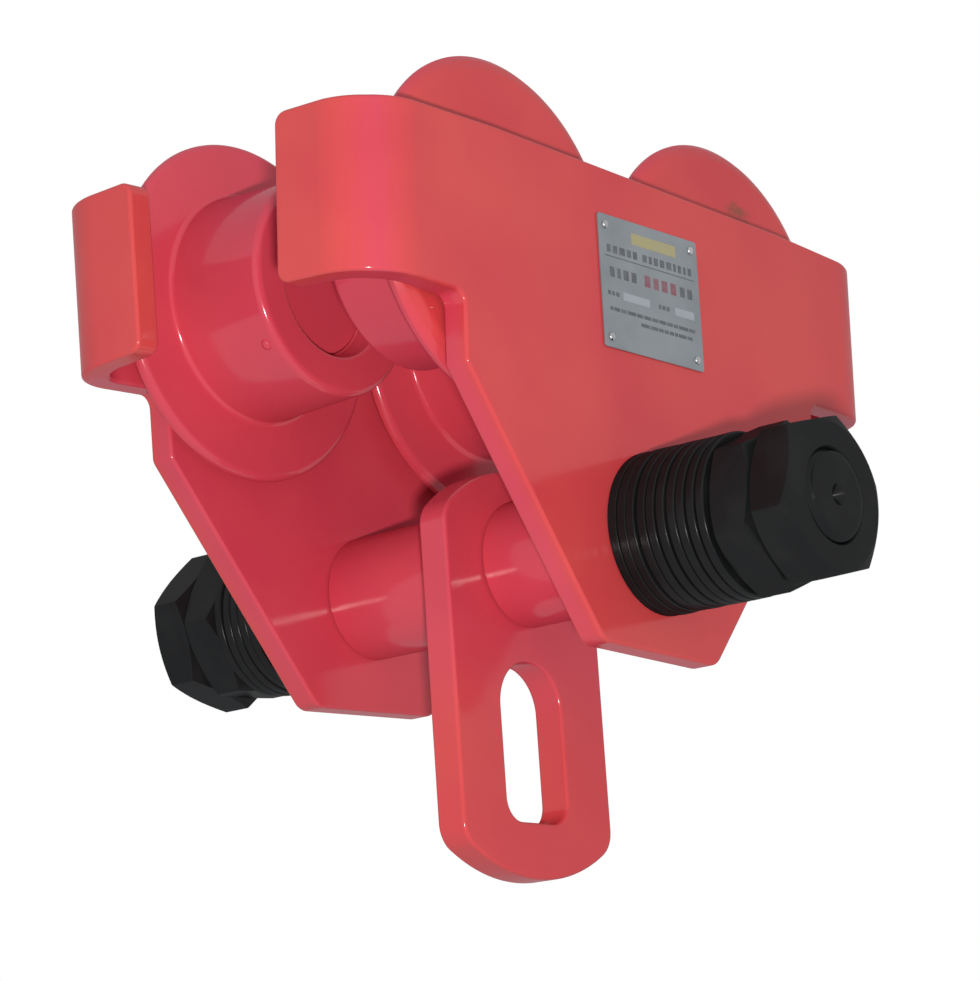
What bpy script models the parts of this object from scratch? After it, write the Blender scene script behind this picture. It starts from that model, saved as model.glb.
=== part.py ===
"""Beam trolley, two tonne class.

Frame: origin midway between the wheels at the height where they stand on the beam's
flange, X along the beam (direction of travel), Y along the load bar (near plate at -Y),
Z up. Lengths in metres. Each piece is drawn from the load bar's centre, and the last
step moves all of them down so that the beam line is at height zero.
"""
import math

import bmesh
import bpy
from mathutils import Matrix, Vector

MM = 0.001
GAP = 0.3 * MM                 # between pieces that touch

# side plates
PLATE_OUTER_Y = 79.0 * MM
PLATE_T = 11.0 * MM
PLATE_INNER_Y = PLATE_OUTER_Y - PLATE_T
PLATE_HALF_LENGTH = 158.5 * MM
PLATE_TOP_Z = 141.5 * MM
TOP_FALL_X = 90.0 * MM         # from here the top edge dips a little towards the fold
FOLD_DIP = 2.0 * MM
END_DIP = 1.0 * MM             # the folded flap stands a little higher at its free end
END_LIFT = 2.2 * MM
BUMPER_BOTTOM_Z = 73.0 * MM
NOTCH_X = 108.5 * MM
NOTCH_Z = 47.0 * MM
BOTTOM_Z = -46.0 * MM
BOTTOM_HALF_WIDTH = 35.0 * MM
NOTCH_FILLET = 5.0 * MM
SHOULDER_ROUND = 5.0 * MM
BOTTOM_ROUND = 8.0 * MM
FREE_CORNER_ROUND = 5.0 * MM
BEND_OUTER_R = 26.0 * MM
BEND_ANGLE = math.radians(90.0)
BEND_TAIL = 20.5 * MM
BEND_STEPS = 10
FAR_TURN = math.radians(-4.1)  # far plate stands turned about the load bar

# wheels
WHEEL_X = 69.0 * MM
WHEEL_Z = 108.5 * MM
FLANGE_R = 68.0 * MM
FLANGE_OUTER_Y = 66.6 * MM
FLANGE_INNER_Y = 58.5 * MM
TREAD_R_OUTER = 45.0 * MM
TREAD_R_INNER = 43.2 * MM
WHEEL_END_Y = 13.5 * MM
RECESS_R = 28.0 * MM
RECESS_FLOOR_R = 25.2 * MM
RECESS_DEPTH = 9.0 * MM
CAP_T = 2.4 * MM
BEARING_R = 23.5 * MM
BEARING_W = 14.0 * MM
AXLE_R = 10.0 * MM
AXLE_COLLAR_R = 13.0 * MM
AXLE_SPIGOT_R = 9.0 * MM
AXLE_SEAT_DEPTH = 8.0 * MM
WHEEL_SEGMENTS = 30
HUB_SEGMENTS = 20

BEAM_LINE_Z = WHEEL_Z - TREAD_R_OUTER   # where the treads stand on the flange

# load bar and what sits on it
BAR_R = 17.7 * MM
BAR_HALF_LENGTH = 162.5 * MM
BAR_CHAMFER = 2.2 * MM
PLATE_HOLE_R = 18.4 * MM
SLEEVE_R = 25.0 * MM
SLEEVE_BORE_R = 18.4 * MM
WASHER_R = 31.5 * MM
WASHER_BORE_R = 18.5 * MM
WASHER_T = 3.85 * MM
NEAR_WASHER_PITCH = 4.55 * MM      # the near stack is looser than the far one
FAR_WASHER_PITCH = 4.15 * MM
NEAR_WASHERS = 10
FAR_WASHERS = 11
NUT_FLATS = 57.8 * MM
NUT_T = 17.8 * MM
NUT_BORE_R = 18.3 * MM
NUT_CHAMFER = 4.15 * MM
NUT_TURNS = {"near_inner": 26.0, "near_outer": 16.0, "far_inner": 5.0, "far_outer": 47.0}
BAR_SEGMENTS = 28
WASHER_SEGMENTS = 20

# hanger
HANGER_Y = -5.6 * MM
HANGER_T = 13.5 * MM
HANGER_HALF_WIDTH = 45.0 * MM
HANGER_TOP_Z = 37.0 * MM
HANGER_TOP_R = 62.0 * MM
HANGER_BOTTOM_Z = -123.0 * MM
HANGER_BOTTOM_R = 76.0 * MM
HANGER_CORNER_R = 12.0 * MM
HANGER_BORE_R = 18.6 * MM
HANGER_TURN = math.radians(-3.0)
SLOT_HALF_WIDTH = 18.0 * MM
SLOT_TOP_Z = -38.5 * MM
SLOT_BOTTOM_Z = -101.0 * MM
SLOT_BOTTOM_ROUND = 9.0 * MM

# name plate
LABEL_CENTRE = (2.5 * MM, 96.5 * MM)
LABEL_SIZE = (62.5 * MM, 53.0 * MM)
LABEL_T = 0.8 * MM
LABEL_TURN = math.radians(1.8)
RIVET_INSET = 4.2 * MM

RED = (0.62, 0.045, 0.05, 1.0)
BLACK = (0.012, 0.013, 0.013, 1.0)
STEEL = (0.35, 0.35, 0.36, 1.0)
TIN = (0.42, 0.46, 0.46, 1.0)


def clear_scene():
    for ob in list(bpy.data.objects):
        bpy.data.objects.remove(ob, do_unlink=True)


def material(name, colour, metallic, roughness):
    mat = bpy.data.materials.get(name) or bpy.data.materials.new(name)
    mat.use_nodes = True
    bsdf = mat.node_tree.nodes["Principled BSDF"]
    bsdf.inputs["Base Color"].default_value = colour
    bsdf.inputs["Metallic"].default_value = metallic
    bsdf.inputs["Roughness"].default_value = roughness
    return mat


def enamel():
    return material("red_enamel", RED, 0.0, 0.22)


def black_oxide():
    return material("black_oxide", BLACK, 0.6, 0.42)


def bright_steel():
    return material("bright_steel", STEEL, 1.0, 0.35)


def object_from(bm, name, mat, origin=(0.0, 0.0, 0.0), smooth_angle=32.0):
    """Turns a bmesh into an object whose origin sits at the given point."""
    bmesh.ops.recalc_face_normals(bm, faces=bm.faces)
    shift = Vector(origin)
    for v in bm.verts:
        v.co -= shift
    mesh = bpy.data.meshes.new(name)
    bm.to_mesh(mesh)
    bm.free()
    mesh.materials.append(mat)
    mesh.shade_smooth()
    mesh.set_sharp_from_angle(angle=math.radians(smooth_angle))
    ob = bpy.data.objects.new(name, mesh)
    ob.location = shift
    bpy.context.scene.collection.objects.link(ob)
    return ob


def revolve(profile, segments, centre=(0.0, 0.0), phase=0.0):
    """Closed (radius, y) profile turned about an axis along Y through centre (x, z)."""
    bm = bmesh.new()
    rings = []
    for i in range(segments):
        a = phase + 2.0 * math.pi * i / segments
        c, s = math.cos(a), math.sin(a)
        rings.append([bm.verts.new((centre[0] + r * c, y, centre[1] + r * s)) if r > 0.0 else None
                      for r, y in profile])
    poles = {j: bm.verts.new((centre[0], p[1], centre[1])) for j, p in enumerate(profile) if p[0] <= 0.0}
    n = len(profile)
    for i in range(segments):
        a, b = rings[i], rings[(i + 1) % segments]
        for j in range(n):
            k = (j + 1) % n
            ring = [a[j] or poles[j], a[k] or poles[k], b[k] or poles[k], b[j] or poles[j]]
            loop = [v for m, v in enumerate(ring) if v not in ring[:m]]
            if len(loop) > 2:
                bm.faces.new(loop)
    return bm


def arc(cx, cz, r, a0, a1, steps):
    return [(cx + r * math.cos(a0 + (a1 - a0) * i / steps), cz + r * math.sin(a0 + (a1 - a0) * i / steps))
            for i in range(steps + 1)]


def rounded(points, radii, steps=5):
    """Polygon with each corner replaced by an arc of the given radius."""
    out = []
    n = len(points)
    for i in range(n):
        p = Vector(points[i])
        r = radii[i]
        if r <= 0.0:
            out.append(tuple(p))
            continue
        a = (Vector(points[i - 1]) - p).normalized()
        b = (Vector(points[(i + 1) % n]) - p).normalized()
        half = a.angle(b) / 2.0
        d = r / math.tan(half)
        centre = p + (a + b).normalized() * (r / math.sin(half))
        start = p + a * d - centre
        end = p + b * d - centre
        sweep = start.angle_signed(end)
        for k in range(steps + 1):
            v = start.copy()
            v.rotate(Matrix.Rotation(-sweep * k / steps, 2))
            out.append(tuple(centre + v))
    return out


def prism(outline, y0, y1):
    """Outline in (x, z) pushed out along Y."""
    bm = bmesh.new()
    a = [bm.verts.new((x, y0, z)) for x, z in outline]
    b = [bm.verts.new((x, y1, z)) for x, z in outline]
    n = len(outline)
    bm.faces.new(a)
    bm.faces.new(list(reversed(b)))
    for i in range(n):
        j = (i + 1) % n
        bm.faces.new((a[i], b[i], b[j], a[j]))
    return bm


def cut(target, bm, operation="DIFFERENCE"):
    """Applies one exact Boolean with a throw-away tool body."""
    bmesh.ops.recalc_face_normals(bm, faces=bm.faces)
    mesh = bpy.data.meshes.new("tool")
    bm.to_mesh(mesh)
    bm.free()
    tool = bpy.data.objects.new("tool", mesh)
    tool.location = target.location
    tool.hide_render = True
    tool.display_type = "WIRE"
    bpy.context.scene.collection.objects.link(tool)
    mod = target.modifiers.new("cut", "BOOLEAN")
    mod.operation = operation
    mod.solver = "EXACT"
    mod.object = tool
    deps = bpy.context.evaluated_depsgraph_get()
    result = bpy.data.meshes.new_from_object(target.evaluated_get(deps))
    target.modifiers.clear()
    old = target.data
    target.data = result
    bpy.data.meshes.remove(old)
    bpy.data.objects.remove(tool, do_unlink=True)
    result.shade_smooth()
    result.set_sharp_from_angle(angle=math.radians(32.0))


def blank_outline():
    """Flat blank of a side plate: arc length along the plate against height."""
    half_bend = (BEND_OUTER_R - PLATE_T / 2.0) * BEND_ANGLE / 2.0
    fold = (PLATE_HALF_LENGTH - BEND_OUTER_R) + half_bend
    end = fold + half_bend + BEND_TAIL
    right = [
        (TOP_FALL_X, PLATE_TOP_Z), (fold, PLATE_TOP_Z - FOLD_DIP), (end, PLATE_TOP_Z - END_DIP),
        (end, BUMPER_BOTTOM_Z + END_LIFT), (fold, BUMPER_BOTTOM_Z), (NOTCH_X, BUMPER_BOTTOM_Z),
        (NOTCH_X, NOTCH_Z), (BOTTOM_HALF_WIDTH, BOTTOM_Z),
    ]
    radii = [0.0, 0.0, FREE_CORNER_ROUND, FREE_CORNER_ROUND, 0.0, NOTCH_FILLET, SHOULDER_ROUND, BOTTOM_ROUND]
    left = [(-x, z) for x, z in reversed(right)]
    return rounded(right + left, radii + list(reversed(radii)))


def bend_point(s, across):
    """Place on the folded sheet: s along its middle line, across from the middle (outward positive)."""
    side = 1.0 if s >= 0.0 else -1.0
    a = abs(s)
    straight = PLATE_HALF_LENGTH - BEND_OUTER_R
    middle_r = BEND_OUTER_R - PLATE_T / 2.0
    if a <= straight:
        return side * a, (PLATE_OUTER_Y - PLATE_T / 2.0) + across
    angle = (a - straight) / middle_r
    tail = 0.0
    if angle > BEND_ANGLE:
        tail = a - straight - BEND_ANGLE * middle_r
        angle = BEND_ANGLE
    r = middle_r + across
    x = straight + r * math.sin(angle) + tail * math.cos(angle)
    y = (PLATE_OUTER_Y - BEND_OUTER_R) + r * math.cos(angle) - tail * math.sin(angle)
    return side * x, y


def folded_plate(name, side, turn):
    """Side plate with both ends folded inward. side -1 is the near plate."""
    bm = prism(blank_outline(), -PLATE_T / 2.0, PLATE_T / 2.0)
    straight = PLATE_HALF_LENGTH - BEND_OUTER_R
    middle_r = BEND_OUTER_R - PLATE_T / 2.0
    for i in range(BEND_STEPS + 1):
        s = straight + BEND_ANGLE * middle_r * i / BEND_STEPS
        for sign in (-1.0, 1.0):
            geom = bm.verts[:] + bm.edges[:] + bm.faces[:]
            bmesh.ops.bisect_plane(bm, geom=geom, dist=1e-7, plane_co=(sign * s, 0.0, 0.0),
                                   plane_no=(1.0, 0.0, 0.0))
    for v in bm.verts:
        x, y = bend_point(v.co.x, v.co.y)
        v.co = Vector((x, side * y, v.co.z))
    bmesh.ops.remove_doubles(bm, verts=bm.verts, dist=1e-6)
    uneven = [f for f in bm.faces if len(f.verts) > 3 and not flat(f)]
    bmesh.ops.triangulate(bm, faces=uneven)
    ob = object_from(bm, name, enamel())
    hole = revolve([(0.0, -0.1), (PLATE_HOLE_R, -0.1), (PLATE_HOLE_R, 0.1), (0.0, 0.1)], BAR_SEGMENTS)
    cut(ob, hole)
    inner = side * PLATE_INNER_Y
    for sx in (-1.0, 1.0):
        seat = revolve([(0.0, inner - side * 2.0 * MM), (AXLE_SPIGOT_R + GAP, inner - side * 2.0 * MM),
                        (AXLE_SPIGOT_R + GAP, inner + side * AXLE_SEAT_DEPTH),
                        (0.0, inner + side * AXLE_SEAT_DEPTH)], HUB_SEGMENTS, (sx * WHEEL_X, WHEEL_Z))
        cut(ob, seat)
    ob.rotation_euler = (0.0, turn, 0.0)
    return ob


def flat(face):
    face.normal_update()
    base = face.verts[0].co
    return all(abs((v.co - base).dot(face.normal)) < 1e-7 for v in face.verts)


def wheel_profile(side):
    floor_y = WHEEL_END_Y + RECESS_DEPTH
    cap_back = floor_y + CAP_T + 2.0 * GAP
    bearing_back = cap_back + BEARING_W + GAP + 2.2 * MM
    pts = [
        (AXLE_COLLAR_R + 1.0 * MM, FLANGE_OUTER_Y),
        (FLANGE_R - 6.0 * MM, FLANGE_OUTER_Y),
        (FLANGE_R - 2.2 * MM, FLANGE_OUTER_Y - 1.8 * MM),
        (FLANGE_R, FLANGE_OUTER_Y - 4.2 * MM),
        (FLANGE_R, FLANGE_INNER_Y + 2.8 * MM),
        (FLANGE_R - 2.8 * MM, FLANGE_INNER_Y),
        (TREAD_R_OUTER + 3.0 * MM, FLANGE_INNER_Y - 0.8 * MM),
        (TREAD_R_OUTER, FLANGE_INNER_Y - 3.4 * MM),
        (TREAD_R_INNER, WHEEL_END_Y + 3.0 * MM),
        (TREAD_R_INNER - 2.6 * MM, WHEEL_END_Y),
        (RECESS_R, WHEEL_END_Y),
        (RECESS_FLOOR_R, floor_y - 1.0 * MM),
        (RECESS_FLOOR_R, cap_back),
        (BEARING_R + GAP, cap_back),
        (BEARING_R + GAP, bearing_back),
        (AXLE_COLLAR_R + 1.0 * MM, bearing_back),
    ]
    return [(r, side * y) for r, y in pts]


def wheel_set(prefix, plate, side, sx):
    """One wheel with its bearing, cap, axle and retaining ring, carried by a side plate."""
    cx, cz = sx * WHEEL_X, WHEEL_Z
    centre = (cx, cz)
    floor_y = WHEEL_END_Y + RECESS_DEPTH
    cap_back = floor_y + CAP_T
    bearing_front = cap_back + 2.0 * GAP + 2.2 * MM
    bearing_back = bearing_front + BEARING_W
    mid = side * (WHEEL_END_Y + FLANGE_OUTER_Y) / 2.0
    here = (cx, mid, cz)

    wheel = object_from(revolve(wheel_profile(side), WHEEL_SEGMENTS, centre), prefix + "_wheel", enamel(), here)
    wheel.parent = plate

    cap = [(0.0, floor_y), (RECESS_FLOOR_R - 1.6 * MM, floor_y),
           (RECESS_FLOOR_R - GAP, floor_y + 0.9 * MM), (RECESS_FLOOR_R - GAP, cap_back), (0.0, cap_back)]
    hub_cap = object_from(revolve([(r, side * y) for r, y in cap], WHEEL_SEGMENTS, centre),
                          prefix + "_hub_cap", enamel(), here)
    hub_cap.parent = plate

    bearing = [(AXLE_R + 0.25 * MM, bearing_front), (BEARING_R - GAP, bearing_front),
               (BEARING_R - GAP, bearing_back), (AXLE_R + 0.25 * MM, bearing_back)]
    race = object_from(revolve([(r, side * y) for r, y in bearing], HUB_SEGMENTS, centre),
                       prefix + "_bearing", bright_steel(), here)
    race.parent = plate

    groove_front = bearing_front - 1.7 * MM
    groove_back = bearing_front - GAP
    spigot_end = PLATE_INNER_Y + AXLE_SEAT_DEPTH - GAP
    axle = [(0.0, cap_back + GAP), (AXLE_R - 0.6 * MM, cap_back + GAP),
            (AXLE_R - 0.6 * MM, groove_front - GAP), (AXLE_R - 1.2 * MM, groove_front - GAP),
            (AXLE_R - 1.2 * MM, groove_back), (AXLE_R, groove_back), (AXLE_R, bearing_back + GAP),
            (AXLE_COLLAR_R, bearing_back + GAP), (AXLE_COLLAR_R, PLATE_INNER_Y - GAP),
            (AXLE_SPIGOT_R, PLATE_INNER_Y - GAP), (AXLE_SPIGOT_R, spigot_end), (0.0, spigot_end)]
    pin = object_from(revolve([(r, side * y) for r, y in axle], HUB_SEGMENTS, centre),
                      prefix + "_axle", bright_steel(), here)
    pin.parent = plate

    ring = [(AXLE_R - 0.85 * MM, groove_front), (AXLE_R + 2.6 * MM, groove_front),
            (AXLE_R + 2.6 * MM, groove_back - GAP), (AXLE_R - 0.85 * MM, groove_back - GAP)]
    clip = object_from(revolve([(r, side * y) for r, y in ring], HUB_SEGMENTS, centre),
                       prefix + "_axle_ring", bright_steel(), here)
    clip.parent = plate


def load_bar():
    c = BAR_CHAMFER
    end = BAR_HALF_LENGTH
    prof = [(0.0, -end), (BAR_R - c, -end), (BAR_R, -end + c), (BAR_R, end - c), (BAR_R - c, end), (0.0, end)]
    return object_from(revolve(prof, BAR_SEGMENTS), "load_bar", black_oxide())


def tube(name, r_out, r_in, y0, y1, segments, mat, ease=0.0):
    if ease > 0.0:
        prof = [(r_in, y0), (r_out - ease, y0), (r_out, y0 + ease), (r_out, y1 - ease),
                (r_out - ease, y1), (r_in, y1)]
    else:
        prof = [(r_in, y0), (r_out, y0), (r_out, y1), (r_in, y1)]
    return object_from(revolve(prof, segments), name, mat, (0.0, (y0 + y1) / 2.0, 0.0))


def sleeves():
    near_end = HANGER_Y - HANGER_T / 2.0 - 0.5 * MM
    far_start = HANGER_Y + HANGER_T / 2.0 + 0.5 * MM
    tube("near_spacer_sleeve", SLEEVE_R, SLEEVE_BORE_R, -PLATE_INNER_Y + GAP, near_end, BAR_SEGMENTS,
         enamel(), 0.8 * MM)
    tube("far_spacer_sleeve", SLEEVE_R, SLEEVE_BORE_R, far_start, PLATE_INNER_Y - GAP, BAR_SEGMENTS,
         enamel(), 0.8 * MM)


def washers():
    for i in range(NEAR_WASHERS):
        y = -(PLATE_OUTER_Y + GAP + i * NEAR_WASHER_PITCH)
        tube(f"near_washer_{i + 1:02d}", WASHER_R, WASHER_BORE_R, y - WASHER_T, y, WASHER_SEGMENTS,
             black_oxide())
    for i in range(FAR_WASHERS):
        y = PLATE_OUTER_Y + GAP + i * FAR_WASHER_PITCH
        tube(f"far_washer_{i + 1:02d}", WASHER_R, WASHER_BORE_R, y, y + WASHER_T, WASHER_SEGMENTS,
             black_oxide())


def nut(name, y0, y1, turn_deg):
    """Hexagon nut with a chamfer cone at both ends."""
    corner = NUT_FLATS / 2.0 / math.cos(math.pi / 6.0)
    turn = math.radians(turn_deg)
    hexagon = [(corner * math.cos(turn + k * math.pi / 3.0), corner * math.sin(turn + k * math.pi / 3.0))
               for k in range(6)]
    mid = (y0 + y1) / 2.0
    ob = object_from(prism(hexagon, y0, y1), name, black_oxide())
    drop = NUT_CHAMFER * math.tan(math.radians(32.0))
    face_r = corner - NUT_CHAMFER - 1.2 * MM
    cone = [(NUT_BORE_R, y0 - 1e-4), (face_r, y0 - 1e-4), (face_r, y0), (corner + 0.2 * MM, y0 + drop + 0.8 * MM),
            (corner + 0.2 * MM, y1 - drop - 0.8 * MM), (face_r, y1), (face_r, y1 + 1e-4),
            (NUT_BORE_R, y1 + 1e-4)]
    cut(ob, revolve(cone, 24, phase=turn), "INTERSECT")
    shift = Vector((0.0, mid, 0.0))
    for v in ob.data.vertices:
        v.co -= shift
    ob.location = shift
    return ob


def nuts():
    start = PLATE_OUTER_Y + GAP + NEAR_WASHERS * NEAR_WASHER_PITCH
    nut("near_inner_nut", -(start + NUT_T), -start, NUT_TURNS["near_inner"])
    start += NUT_T + GAP
    nut("near_outer_nut", -(start + NUT_T), -start, NUT_TURNS["near_outer"])
    start = PLATE_OUTER_Y + GAP + FAR_WASHERS * FAR_WASHER_PITCH
    nut("far_inner_nut", start, start + NUT_T, NUT_TURNS["far_inner"])
    start += NUT_T + GAP
    nut("far_outer_nut", start, start + NUT_T, NUT_TURNS["far_outer"])


def hanger():
    """Plate with big flat arcs at top and bottom, round bore and hook slot."""
    w = HANGER_HALF_WIDTH
    r = HANGER_CORNER_R

    def cap_arc(z_end, radius, sign):
        """Outer arc joined to the straight sides by corner arcs, right to left."""
        centre_z = z_end - sign * radius
        reach = radius - r
        cx = w - r
        dz = math.sqrt(reach * reach - cx * cx)
        corner_z = centre_z + sign * dz
        join = math.atan2(dz, cx)
        right = [(cx + r * math.cos(a), corner_z + sign * r * math.sin(a))
                 for a in [join * i / 4.0 for i in range(5)]]
        big = [(radius * math.cos(a), centre_z + sign * radius * math.sin(a))
               for a in [join + (math.pi - 2.0 * join) * i / 12.0 for i in range(1, 12)]]
        left = [(-x, z) for x, z in reversed(right)]
        return right + big + left

    top = cap_arc(HANGER_TOP_Z, HANGER_TOP_R, 1.0)
    bottom = list(reversed(cap_arc(HANGER_BOTTOM_Z, HANGER_BOTTOM_R, -1.0)))
    outline = top + bottom
    half = HANGER_T / 2.0
    ob = object_from(prism(outline, -half, half), "hanger_plate", enamel())
    bore = revolve([(0.0, -0.05), (HANGER_BORE_R, -0.05), (HANGER_BORE_R, 0.05), (0.0, 0.05)], BAR_SEGMENTS)
    cut(ob, bore)
    s = SLOT_HALF_WIDTH
    crown = arc(0.0, SLOT_TOP_Z - s, s, 0.0, math.pi, 12)
    foot = rounded([(-s, SLOT_TOP_Z - s), (-s, SLOT_BOTTOM_Z), (s, SLOT_BOTTOM_Z), (s, SLOT_TOP_Z - s)],
                   [0.0, SLOT_BOTTOM_ROUND, SLOT_BOTTOM_ROUND, 0.0], 5)
    slot = crown + foot[1:-1]
    cut(ob, prism(slot, -0.05, 0.05))
    ob.location = (0.0, HANGER_Y, 0.0)
    ob.rotation_euler = (0.0, HANGER_TURN, 0.0)
    return ob


def name_plate():
    """Bare data plate held by four rivets on the near plate's outer face."""
    w, h = LABEL_SIZE
    y_back = -(PLATE_OUTER_Y + 0.1 * MM)
    y_front = y_back - LABEL_T
    c, s = math.cos(LABEL_TURN), math.sin(LABEL_TURN)

    def place(x, z):
        return LABEL_CENTRE[0] + x * c - z * s, LABEL_CENTRE[1] + x * s + z * c

    corners = rounded([(w / 2, h / 2), (w / 2, -h / 2), (-w / 2, -h / 2), (-w / 2, h / 2)], [1.2 * MM] * 4, 3)
    outline = [place(x, z) for x, z in corners]
    tin = material("grey_tin", TIN, 0.8, 0.4)
    object_from(prism(outline, y_front, y_back), "name_plate", tin)
    number = 0
    for sz in (1.0, -1.0):
        for sx in (-1.0, 1.0):
            number += 1
            x, z = place(sx * (w / 2 - RIVET_INSET), sz * (h / 2 - RIVET_INSET))
            head = [(0.0, y_front - 1.1 * MM), (0.9 * MM, y_front - 0.95 * MM),
                    (1.6 * MM, y_front - 0.45 * MM), (1.7 * MM, y_front - 0.05 * MM), (0.0, y_front - 0.05 * MM)]
            object_from(revolve(head, 12, (x, z)), f"name_plate_rivet_{number}", bright_steel())


def lower_to_beam_line():
    for ob in bpy.data.objects:
        if ob.parent is None:
            ob.location.z -= BEAM_LINE_Z


def build():
    clear_scene()
    near_plate = folded_plate("near_side_plate", -1.0, 0.0)
    far_plate = folded_plate("far_side_plate", 1.0, FAR_TURN)
    load_bar()
    sleeves()
    hanger()
    washers()
    nuts()
    wheel_set("near_front", near_plate, -1.0, -1.0)
    wheel_set("near_rear", near_plate, -1.0, 1.0)
    wheel_set("far_front", far_plate, 1.0, -1.0)
    wheel_set("far_rear", far_plate, 1.0, 1.0)
    name_plate()
    lower_to_beam_line()


build()
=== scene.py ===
"""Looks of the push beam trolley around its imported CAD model.

Every steel piece that shows is drawn again with rounded edges and fine curves in the
place where its CAD node stands, and gets its finish: thick red enamel, blackened steel,
or the grey tin of the data plate. Lengths are in metres, in the model's own frame.
"""
import math
import random

import bmesh
import bpy
from mathutils import Matrix, Vector

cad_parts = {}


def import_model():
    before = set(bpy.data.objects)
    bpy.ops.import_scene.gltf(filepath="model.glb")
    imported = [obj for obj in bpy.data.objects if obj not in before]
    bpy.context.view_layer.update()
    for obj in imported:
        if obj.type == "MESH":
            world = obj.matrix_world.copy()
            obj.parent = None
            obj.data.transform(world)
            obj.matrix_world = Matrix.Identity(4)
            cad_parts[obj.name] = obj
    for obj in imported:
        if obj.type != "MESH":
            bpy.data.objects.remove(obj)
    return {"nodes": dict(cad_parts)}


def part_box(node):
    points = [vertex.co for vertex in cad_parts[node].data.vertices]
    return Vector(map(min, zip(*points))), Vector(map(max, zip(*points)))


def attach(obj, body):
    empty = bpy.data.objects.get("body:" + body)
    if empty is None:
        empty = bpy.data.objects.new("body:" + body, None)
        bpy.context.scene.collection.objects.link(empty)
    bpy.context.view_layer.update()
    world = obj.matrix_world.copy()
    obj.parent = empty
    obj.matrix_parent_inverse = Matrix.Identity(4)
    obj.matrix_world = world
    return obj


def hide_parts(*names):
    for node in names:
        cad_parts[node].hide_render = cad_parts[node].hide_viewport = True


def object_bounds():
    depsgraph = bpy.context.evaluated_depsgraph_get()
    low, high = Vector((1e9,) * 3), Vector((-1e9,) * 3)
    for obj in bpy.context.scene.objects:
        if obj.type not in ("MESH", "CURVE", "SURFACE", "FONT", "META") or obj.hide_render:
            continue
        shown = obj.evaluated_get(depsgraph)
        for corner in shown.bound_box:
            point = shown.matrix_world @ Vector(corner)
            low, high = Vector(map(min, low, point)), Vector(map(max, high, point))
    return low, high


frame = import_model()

CAD_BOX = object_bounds()
MM = 0.001
TAU = 2.0 * math.pi

# places read from the frame
NEAR_PLATE_LOW, NEAR_PLATE_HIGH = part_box("near_side_plate")
BAR_LOW, BAR_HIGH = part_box("load_bar")
BAR_Z = (BAR_LOW.z + BAR_HIGH.z) / 2.0
BAR_R = (BAR_HIGH.z - BAR_LOW.z) / 2.0


def centre_of(node):
    low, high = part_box(node)
    return (low + high) / 2.0


WHEEL_NAMES = ("near_front", "near_rear", "far_front", "far_rear")
WHEEL_CENTRES = {name: centre_of(name + "_wheel") for name in WHEEL_NAMES}
WHEEL_X = WHEEL_CENTRES["near_rear"].x
WHEEL_Z = WHEEL_CENTRES["near_rear"].z - BAR_Z
FAR_SPAN = WHEEL_CENTRES["far_rear"] - WHEEL_CENTRES["far_front"]
FAR_TURN = -math.atan2(FAR_SPAN.z, FAR_SPAN.x)      # of the far plate about the load bar

# side plates, heights from the load bar's axis
PLATE_OUTER_Y = -NEAR_PLATE_LOW.y
PLATE_T = 11.0 * MM
PLATE_HALF_LENGTH = NEAR_PLATE_HIGH.x
PLATE_TOP_Z = NEAR_PLATE_HIGH.z - BAR_Z
PLATE_BOTTOM_Z = NEAR_PLATE_LOW.z - BAR_Z
TOP_FALL_X = 90.0 * MM
FOLD_DIP = 2.0 * MM
END_DIP = 1.0 * MM
END_LIFT = 2.2 * MM
BUMPER_BOTTOM_Z = 73.0 * MM
NOTCH_X = 108.5 * MM
NOTCH_Z = 47.0 * MM
BOTTOM_HALF_WIDTH = 35.0 * MM
NOTCH_FILLET = 5.0 * MM
SHOULDER_ROUND = 5.0 * MM
BOTTOM_ROUND = 8.0 * MM
FREE_CORNER_ROUND = 5.0 * MM
BEND_OUTER_R = 26.0 * MM
BEND_ANGLE = math.radians(90.0)
BEND_TAIL = 20.5 * MM
BEND_STEPS = 40
PLATE_EDGE = 1.5 * MM
PLATE_HOLE_R = 18.4 * MM
AXLE_SEAT_R = 9.3 * MM
AXLE_SEAT_DEPTH = 8.0 * MM
AXLE_SEAT_OVERRUN = 2.0 * MM
PLATE_HOLE_REACH = 100.0 * MM

# wheels, radius and distance from the trolley's middle plane
FLANGE_R = 68.0 * MM
FLANGE_OUTER_Y = 66.6 * MM
FLANGE_INNER_Y = 58.5 * MM
TREAD_R_OUTER = 45.0 * MM
TREAD_R_INNER = 43.2 * MM
WHEEL_END_Y = 13.5 * MM
TREAD_END_FILLET = 3.2 * MM
FINE_ROUND = 0.6 * MM
RECESS_R = 28.0 * MM
RECESS_FLOOR_R = 25.2 * MM
RECESS_DEPTH = 9.0 * MM
RECESS_RIM_FILLET = 2.2 * MM
CAP_T = 2.4 * MM
CAP_ROUND = 0.9 * MM
CAP_PLAY = 0.3 * MM
HUB_BORE_R = 14.0 * MM
BEARING_SEAT_R = 23.8 * MM
BEARING_SEAT_W = 16.5 * MM
WHEEL_SEGMENTS = 144

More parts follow.
